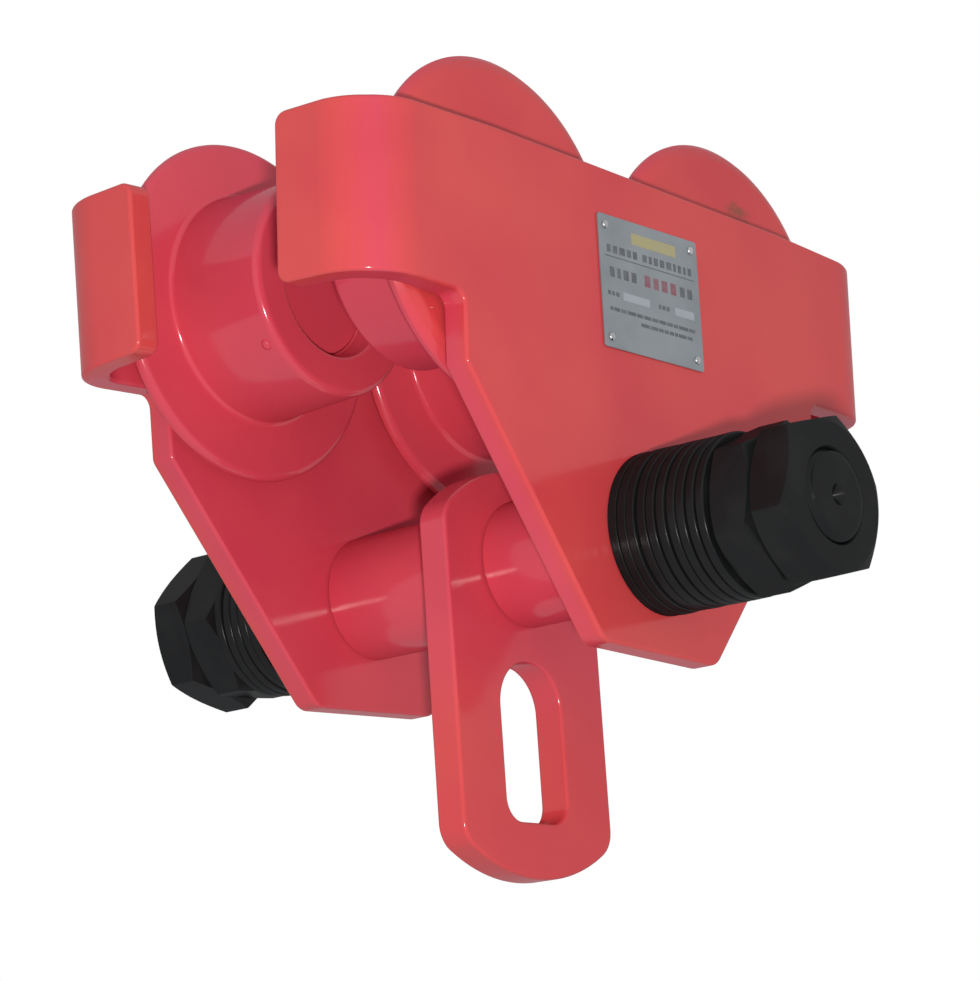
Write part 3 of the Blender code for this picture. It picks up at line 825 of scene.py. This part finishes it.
def tip_face(bm, rim_edges, y_end, sense):
    """Closes a tip of the load bar with a flat face and the mark of the lathe's centre in it."""
    rim = list({v for edge in rim_edges for v in edge.verts})
    rim.sort(key=lambda v: math.atan2(v.co.z - BAR_Z, v.co.x))
    last = rim
    for radius, depth in CENTRE_MARK:
        ring = []
        for v in rim:
            a = math.atan2(v.co.z - BAR_Z, v.co.x)
            r = radius * MM
            place = (r * math.cos(a), y_end - sense * depth * MM, BAR_Z + r * math.sin(a))
            ring.append(bm.verts.new(place))
        for i in range(len(rim)):
            bm.faces.new((last[i - 1], last[i], ring[i], ring[i - 1]))
        last = ring
    bm.faces.new(last)


def load_bar(mat):
    """Round bar with a thread on both ends and flat tips with rounded edges."""
    bm = bmesh.new()
    threaded_end(bm, -THREAD_INNER_Y, BAR_LOW.y)
    threaded_end(bm, THREAD_INNER_Y, BAR_HIGH.y)
    bmesh.ops.remove_doubles(bm, verts=bm.verts, dist=CLOSE_TOGETHER)
    bmesh.ops.dissolve_degenerate(bm, edges=bm.edges, dist=CLOSE_TOGETHER)
    open_edges = [e for e in bm.edges if e.is_boundary]
    tips = [e for e in open_edges if abs(e.verts[0].co.y) > THREAD_INNER_Y + THREAD_PITCH]
    shank = [e for e in open_edges if e not in tips]
    bmesh.ops.bridge_loops(bm, edges=shank)
    tip_face(bm, [e for e in tips if e.verts[0].co.y < 0.0], BAR_LOW.y, -1.0)
    tip_face(bm, [e for e in tips if e.verts[0].co.y > 0.0], BAR_HIGH.y, 1.0)
    drawn(bm, "load_bar_threaded", mat, "near_frame", ["load_bar"], 35.0)


def hanger_arc(z_end, radius, sign):
    """One end of the hanger's outline: a big flat arc joined to the sides by corner arcs."""
    w, r = HANGER_HALF_WIDTH, HANGER_CORNER_R
    reach = radius - r
    cx = w - r
    dz = math.sqrt(reach * reach - cx * cx)
    centre_z = z_end - sign * radius
    corner_z = centre_z + sign * dz
    join = math.atan2(dz, cx)
    right = []
    for i in range(13):
        a = join * i / 12.0
        right.append((cx + r * math.cos(a), corner_z + sign * r * math.sin(a)))
    big = []
    for i in range(1, 40):
        a = join + (math.pi - 2.0 * join) * i / 40.0
        big.append((radius * math.cos(a), centre_z + sign * radius * math.sin(a)))
    left = [(-x, z) for x, z in reversed(right)]
    return right + big + left


def plate_with_holes(outline, holes, thickness, edge):
    """Flat plate in (x, z) with holes, edges rounded, as a bmesh centred on y = 0."""
    curve = bpy.data.curves.new("plate", "CURVE")
    curve.dimensions = "2D"
    curve.fill_mode = "BOTH"
    curve.extrude = thickness / 2.0 - edge
    curve.bevel_depth = edge
    curve.bevel_resolution = 3
    curve.offset = -edge
    for ring in [outline] + holes:
        spline = curve.splines.new("POLY")
        spline.points.add(len(ring) - 1)
        for point, (x, z) in zip(spline.points, ring):
            point.co = (x, z, 0.0, 1.0)
        spline.use_cyclic_u = True
    ob = in_scene("plate", curve)
    deps = bpy.context.evaluated_depsgraph_get()
    mesh = bpy.data.meshes.new_from_object(ob.evaluated_get(deps))
    bm = bmesh.new()
    bm.from_mesh(mesh)
    bpy.data.objects.remove(ob, do_unlink=True)
    bpy.data.curves.remove(curve)
    bpy.data.meshes.remove(mesh)
    bmesh.ops.remove_doubles(bm, verts=bm.verts, dist=CLOSE_TOGETHER)
    upright = Matrix.Rotation(math.pi / 2.0, 4, "X")
    bmesh.ops.transform(bm, matrix=upright, verts=bm.verts)
    return bm


def hanger(mat):
    top = hanger_arc(HANGER_TOP_Z, HANGER_TOP_R, 1.0)
    bottom = list(reversed(hanger_arc(HANGER_BOTTOM_Z, HANGER_BOTTOM_R, -1.0)))
    around = [TAU * i / 96 for i in range(96)]
    bore = [(HANGER_BORE_R * math.cos(a), HANGER_BORE_R * math.sin(a)) for a in around]
    s = SLOT_HALF_WIDTH
    crown_z = SLOT_TOP_Z - s
    over = [math.pi * i / 48 for i in range(49)]
    crown = [(s * math.cos(a), crown_z + s * math.sin(a)) for a in over]
    foot = rounded([(-s, crown_z), (-s, SLOT_BOTTOM_Z), (s, SLOT_BOTTOM_Z), (s, crown_z)],
                   [0.0, SLOT_BOTTOM_ROUND, SLOT_BOTTOM_ROUND, 0.0], 12)
    slot = crown + foot[1:-1]
    bm = plate_with_holes(top + bottom, [bore, slot], HANGER_T, HANGER_EDGE)
    place = Matrix.Translation((0.0, HANGER_Y, BAR_Z)) @ Matrix.Rotation(HANGER_TURN, 4, "Y")
    bmesh.ops.transform(bm, matrix=place, verts=bm.verts)
    drawn(bm, "hanger_plate_enamelled", mat, "hanger", ["hanger_plate"])


def label_place(x, z):
    """From the data plate's own corner-square frame to (x, z) of the model."""
    c, s = math.cos(LABEL_TURN), math.sin(LABEL_TURN)
    return LABEL_CENTRE.x + x * c - z * s, BAR_Z + LABEL_CENTRE.y + x * s + z * c


def print_bars(name, mat, bars):
    """Thin printed bars on the data plate, each (x, z, width, height) from its middle."""
    front = LABEL_BACK_Y - LABEL_T
    bm = bmesh.new()
    for x, z, width, height in bars:
        corners = [(x, z), (x + width, z), (x + width, z + height), (x, z + height)]
        at = [label_place(a, b) for a, b in corners]
        low = [bm.verts.new((a, front - PRINT_T, b)) for a, b in at]
        high = [bm.verts.new((a, front, b)) for a, b in at]
        bm.faces.new(low)
        bm.faces.new(list(reversed(high)))
        for i in range(4):
            j = (i + 1) % 4
            bm.faces.new((low[i], high[i], high[j], low[j]))
    drawn(bm, name, mat, "near_frame", [])


def dashes(drift, x, end, z, height, shortest, longest):
    """A row of bars of uneven width that stands for a line of small print."""
    bars = []
    while x + shortest < end:
        width = min(drift.uniform(shortest, longest), end - x)
        bars.append((x, z, width, height))
        x += width + 0.45 * height
    return bars


def data_plate(tin_mat, rivet_mat):
    """Grey plate with a form of plain bars and boxes, held by four small rivets."""
    w, h = LABEL_SIZE / 2.0
    corners = rounded([(w, h), (w, -h), (-w, -h), (-w, h)], [LABEL_CORNER_ROUND] * 4, 6)
    front = LABEL_BACK_Y - LABEL_T
    bm = prism([label_place(x, z) for x, z in corners], front, LABEL_BACK_Y)
    bm = round_edges(bm, LABEL_EDGE, 2)
    drawn(bm, "name_plate_tin", tin_mat, "near_frame", ["name_plate"])
    print_form(-w + PRINT_MARGIN, w - PRINT_MARGIN)
    for number, (sz, sx) in enumerate(((1.0, -1.0), (1.0, 1.0), (-1.0, -1.0), (-1.0, 1.0)), 1):
        place = label_place(sx * (w - RIVET_INSET), sz * (h - RIVET_INSET))
        rivet_head(f"name_plate_rivet_{number}", place, front - RIVET_LIFT, rivet_mat)


def print_form(left, right):
    """Title, rule, rating, captions with empty fields and two lines of notes, as plain bars."""
    drift = random.Random(11)
    title_z, rule_z, value_z, caption_z = 11.6 * MM, 9.8 * MM, 1.9 * MM, -5.6 * MM
    title = dashes(drift, left, -6.5 * MM, title_z, 3.0 * MM, 1.4 * MM, 3.6 * MM)
    title += dashes(drift, -4.5 * MM, right, title_z, 3.0 * MM, 1.4 * MM, 3.6 * MM)
    rule = [(left - 1.5 * MM, rule_z, right - left + 3.0 * MM, 0.4 * MM)]
    value = dashes(drift, left + 1.0 * MM, -6.0 * MM, value_z, 4.0 * MM, 2.0 * MM, 3.2 * MM)
    value += dashes(drift, 18.5 * MM, right, value_z, 4.0 * MM, 2.4 * MM, 3.4 * MM)
    small, least, most = 1.7 * MM, 1.6 * MM, 2.8 * MM
    caption = dashes(drift, left - 1.0 * MM, left + 6.0 * MM, caption_z, small, least, most)
    caption += dashes(drift, 4.0 * MM, 12.0 * MM, caption_z, small, least, most)
    notes = dashes(drift, left, right, -11.6 * MM, 1.4 * MM, 1.5 * MM, 6.0 * MM)
    notes += dashes(drift, -8.0 * MM, right, -15.0 * MM, 1.4 * MM, 1.5 * MM, 6.0 * MM)
    dark = title + rule + value + caption + notes
    red = dashes(drift, -4.0 * MM, 16.0 * MM, value_z - 0.2 * MM, 4.6 * MM, 3.0 * MM, 3.6 * MM)
    yellow = [(-11.0 * MM, 17.4 * MM, 28.0 * MM, 4.6 * MM)]
    fields = [(left + 8.5 * MM, caption_z - 0.8 * MM, 16.5 * MM, 3.2 * MM),
              (14.5 * MM, caption_z - 0.8 * MM, right - 14.5 * MM, 3.2 * MM)]
    print_bars("name_plate_dark_print", ink("dark_print", INK), dark)
    print_bars("name_plate_red_print", ink("red_print", RED_INK), red)
    print_bars("name_plate_yellow_print", ink("yellow_print", YELLOW_INK), yellow)
    print_bars("name_plate_pale_fields", ink("pale_print", PALE_INK), fields)


def rivet_head(name, place, foot_y, mat):
    head = [(0.0, foot_y - RIVET_RISE)]
    for i in range(1, 8):
        a = math.pi / 2.0 * i / 7.0
        head.append((RIVET_R * math.sin(a), foot_y - RIVET_RISE * math.cos(a)))
    head.append((0.0, foot_y))
    bm = revolve(head, 32, place)
    drawn(bm, name + "_head", mat, "near_frame", [name])


def hidden_steel(mat):
    """Bearings, axles and their rings keep their CAD form and get bright steel."""
    for name, node in frame["nodes"].items():
        if name.endswith(("_bearing", "_axle", "_axle_ring")):
            node.data.materials.clear()
            node.data.materials.append(mat)


def floor():
    mesh = bpy.data.meshes.new("floor")
    f, z = FLOOR_HALF, FLOOR_Z
    mesh.from_pydata([(-f, -f, z), (f, -f, z), (f, f, z), (-f, f, z)], [], [(0, 1, 2, 3)])
    ob = in_scene("floor", mesh)
    mat = bpy.data.materials.new("floor")
    mat.use_nodes = True
    tree = mat.node_tree
    shader = tree.nodes["Principled BSDF"]
    shader.inputs["Base Color"].default_value = (*FLOOR_COLOUR, 1.0)
    shader.inputs["Roughness"].default_value = 0.9
    shader.inputs["Specular IOR Level"].default_value = 0.0
    shader.inputs["Emission Color"].default_value = (1.0, 1.0, 1.0, 1.0)
    lift = one_value(tree, "MULTIPLY", background_seen(tree), FLOOR_LIFT)
    tree.links.new(lift, shader.inputs["Emission Strength"])
    mesh.materials.append(mat)


def background_seen(tree):
    """1 for rays that show the background: camera, glossy and transmission rays."""
    ray = tree.nodes.new("ShaderNodeLightPath").outputs
    direct = one_value(tree, "MAXIMUM", ray["Is Camera Ray"], ray["Is Glossy Ray"])
    return one_value(tree, "MAXIMUM", direct, ray["Is Transmission Ray"])


def world():
    scene = bpy.context.scene
    scene.world = bpy.data.worlds.new("studio")
    scene.world.use_nodes = True
    tree = scene.world.node_tree
    back = tree.nodes["Background"]
    seen = background_seen(tree)
    tint = tree.nodes.new("ShaderNodeMix")
    tint.data_type = "RGBA"
    tint.inputs["A"].default_value = (*AMBIENT_COLOUR, 1.0)
    tint.inputs["B"].default_value = (1.0, 1.0, 1.0, 1.0)
    tree.links.new(seen, tint.inputs["Factor"])
    tree.links.new(tint.outputs["Result"], back.inputs["Color"])
    span = tree.nodes.new("ShaderNodeMapRange")
    span.inputs["To Min"].default_value = AMBIENT
    span.inputs["To Max"].default_value = 1.0
    tree.links.new(seen, span.inputs["Value"])
    tree.links.new(span.outputs["Result"], back.inputs["Strength"])


def lamp():
    """Round lamp a little below the camera, aimed at the trolley's middle."""
    middle = (CAD_BOX[0] + CAD_BOX[1]) / 2.0
    data = bpy.data.lights.new("lamp", "AREA")
    data.energy = LAMP_POWER
    data.color = LAMP_COLOUR
    data.shape = "DISK"
    data.size = LAMP_SIZE
    ob = in_scene("lamp", data)
    ob.location = LAMP_POSITION
    ob.rotation_euler = (middle - LAMP_POSITION).to_track_quat("-Z", "Y").to_euler()
    ob.visible_camera = False


def camera():
    data = bpy.data.cameras.new("camera")
    data.sensor_width = SENSOR_MM
    data.lens = FOCAL_PIXELS * SENSOR_MM / IMAGE_LONG_SIDE
    data.clip_start = 0.05
    data.clip_end = 50.0
    back = Vector((math.sin(CAMERA_AZIMUTH) * math.cos(CAMERA_ELEVATION),
                   -math.cos(CAMERA_AZIMUTH) * math.cos(CAMERA_ELEVATION),
                   math.sin(CAMERA_ELEVATION)))
    turn = (-back).to_track_quat("-Z", "Y").to_matrix() @ Matrix.Rotation(-CAMERA_ROLL, 3, "Z")
    ob = in_scene("camera", data)
    ob.matrix_world = Matrix.Translation(CAMERA_POSITION) @ turn.to_4x4()
    bpy.context.scene.camera = ob


def build():
    camera()
    red = enamel("enamel", PLATE_OUTER_Y)
    wheel_red = enamel("wheel_enamel", FLANGE_OUTER_Y)
    stained_red = enamel("wheel_enamel_stained", FLANGE_OUTER_Y, STAIN_PLACE)
    black, steel, grey = blackened(), bright_steel(), tin()
    side_plate("near_side_plate", "near_frame", -1.0, 0.0, red)
    side_plate("far_side_plate", "far_frame", 1.0, FAR_TURN, red)
    for name in WHEEL_NAMES:
        side = -1.0 if name.startswith("near") else 1.0
        wheel(name, name + "_roller", side, stained_red if name == "near_rear" else wheel_red)
    paint_drop("far_front", "far_front_roller", 1.0, wheel_red)
    for name in ("near_spacer_sleeve", "far_spacer_sleeve"):
        sleeve(name, red)
    drift = random.Random(5)
    for name in sorted(frame["nodes"]):
        if "_washer_" in name:
            washer(name, drift, black)
    for name, turn in NUT_TURNS.items():
        hexagon_nut(name, turn, black)
    load_bar(black)
    hanger(red)
    data_plate(grey, steel)
    hidden_steel(steel)
    floor()
    world()
    lamp()


build()
bpy.context.scene.view_settings.view_transform = "Standard"
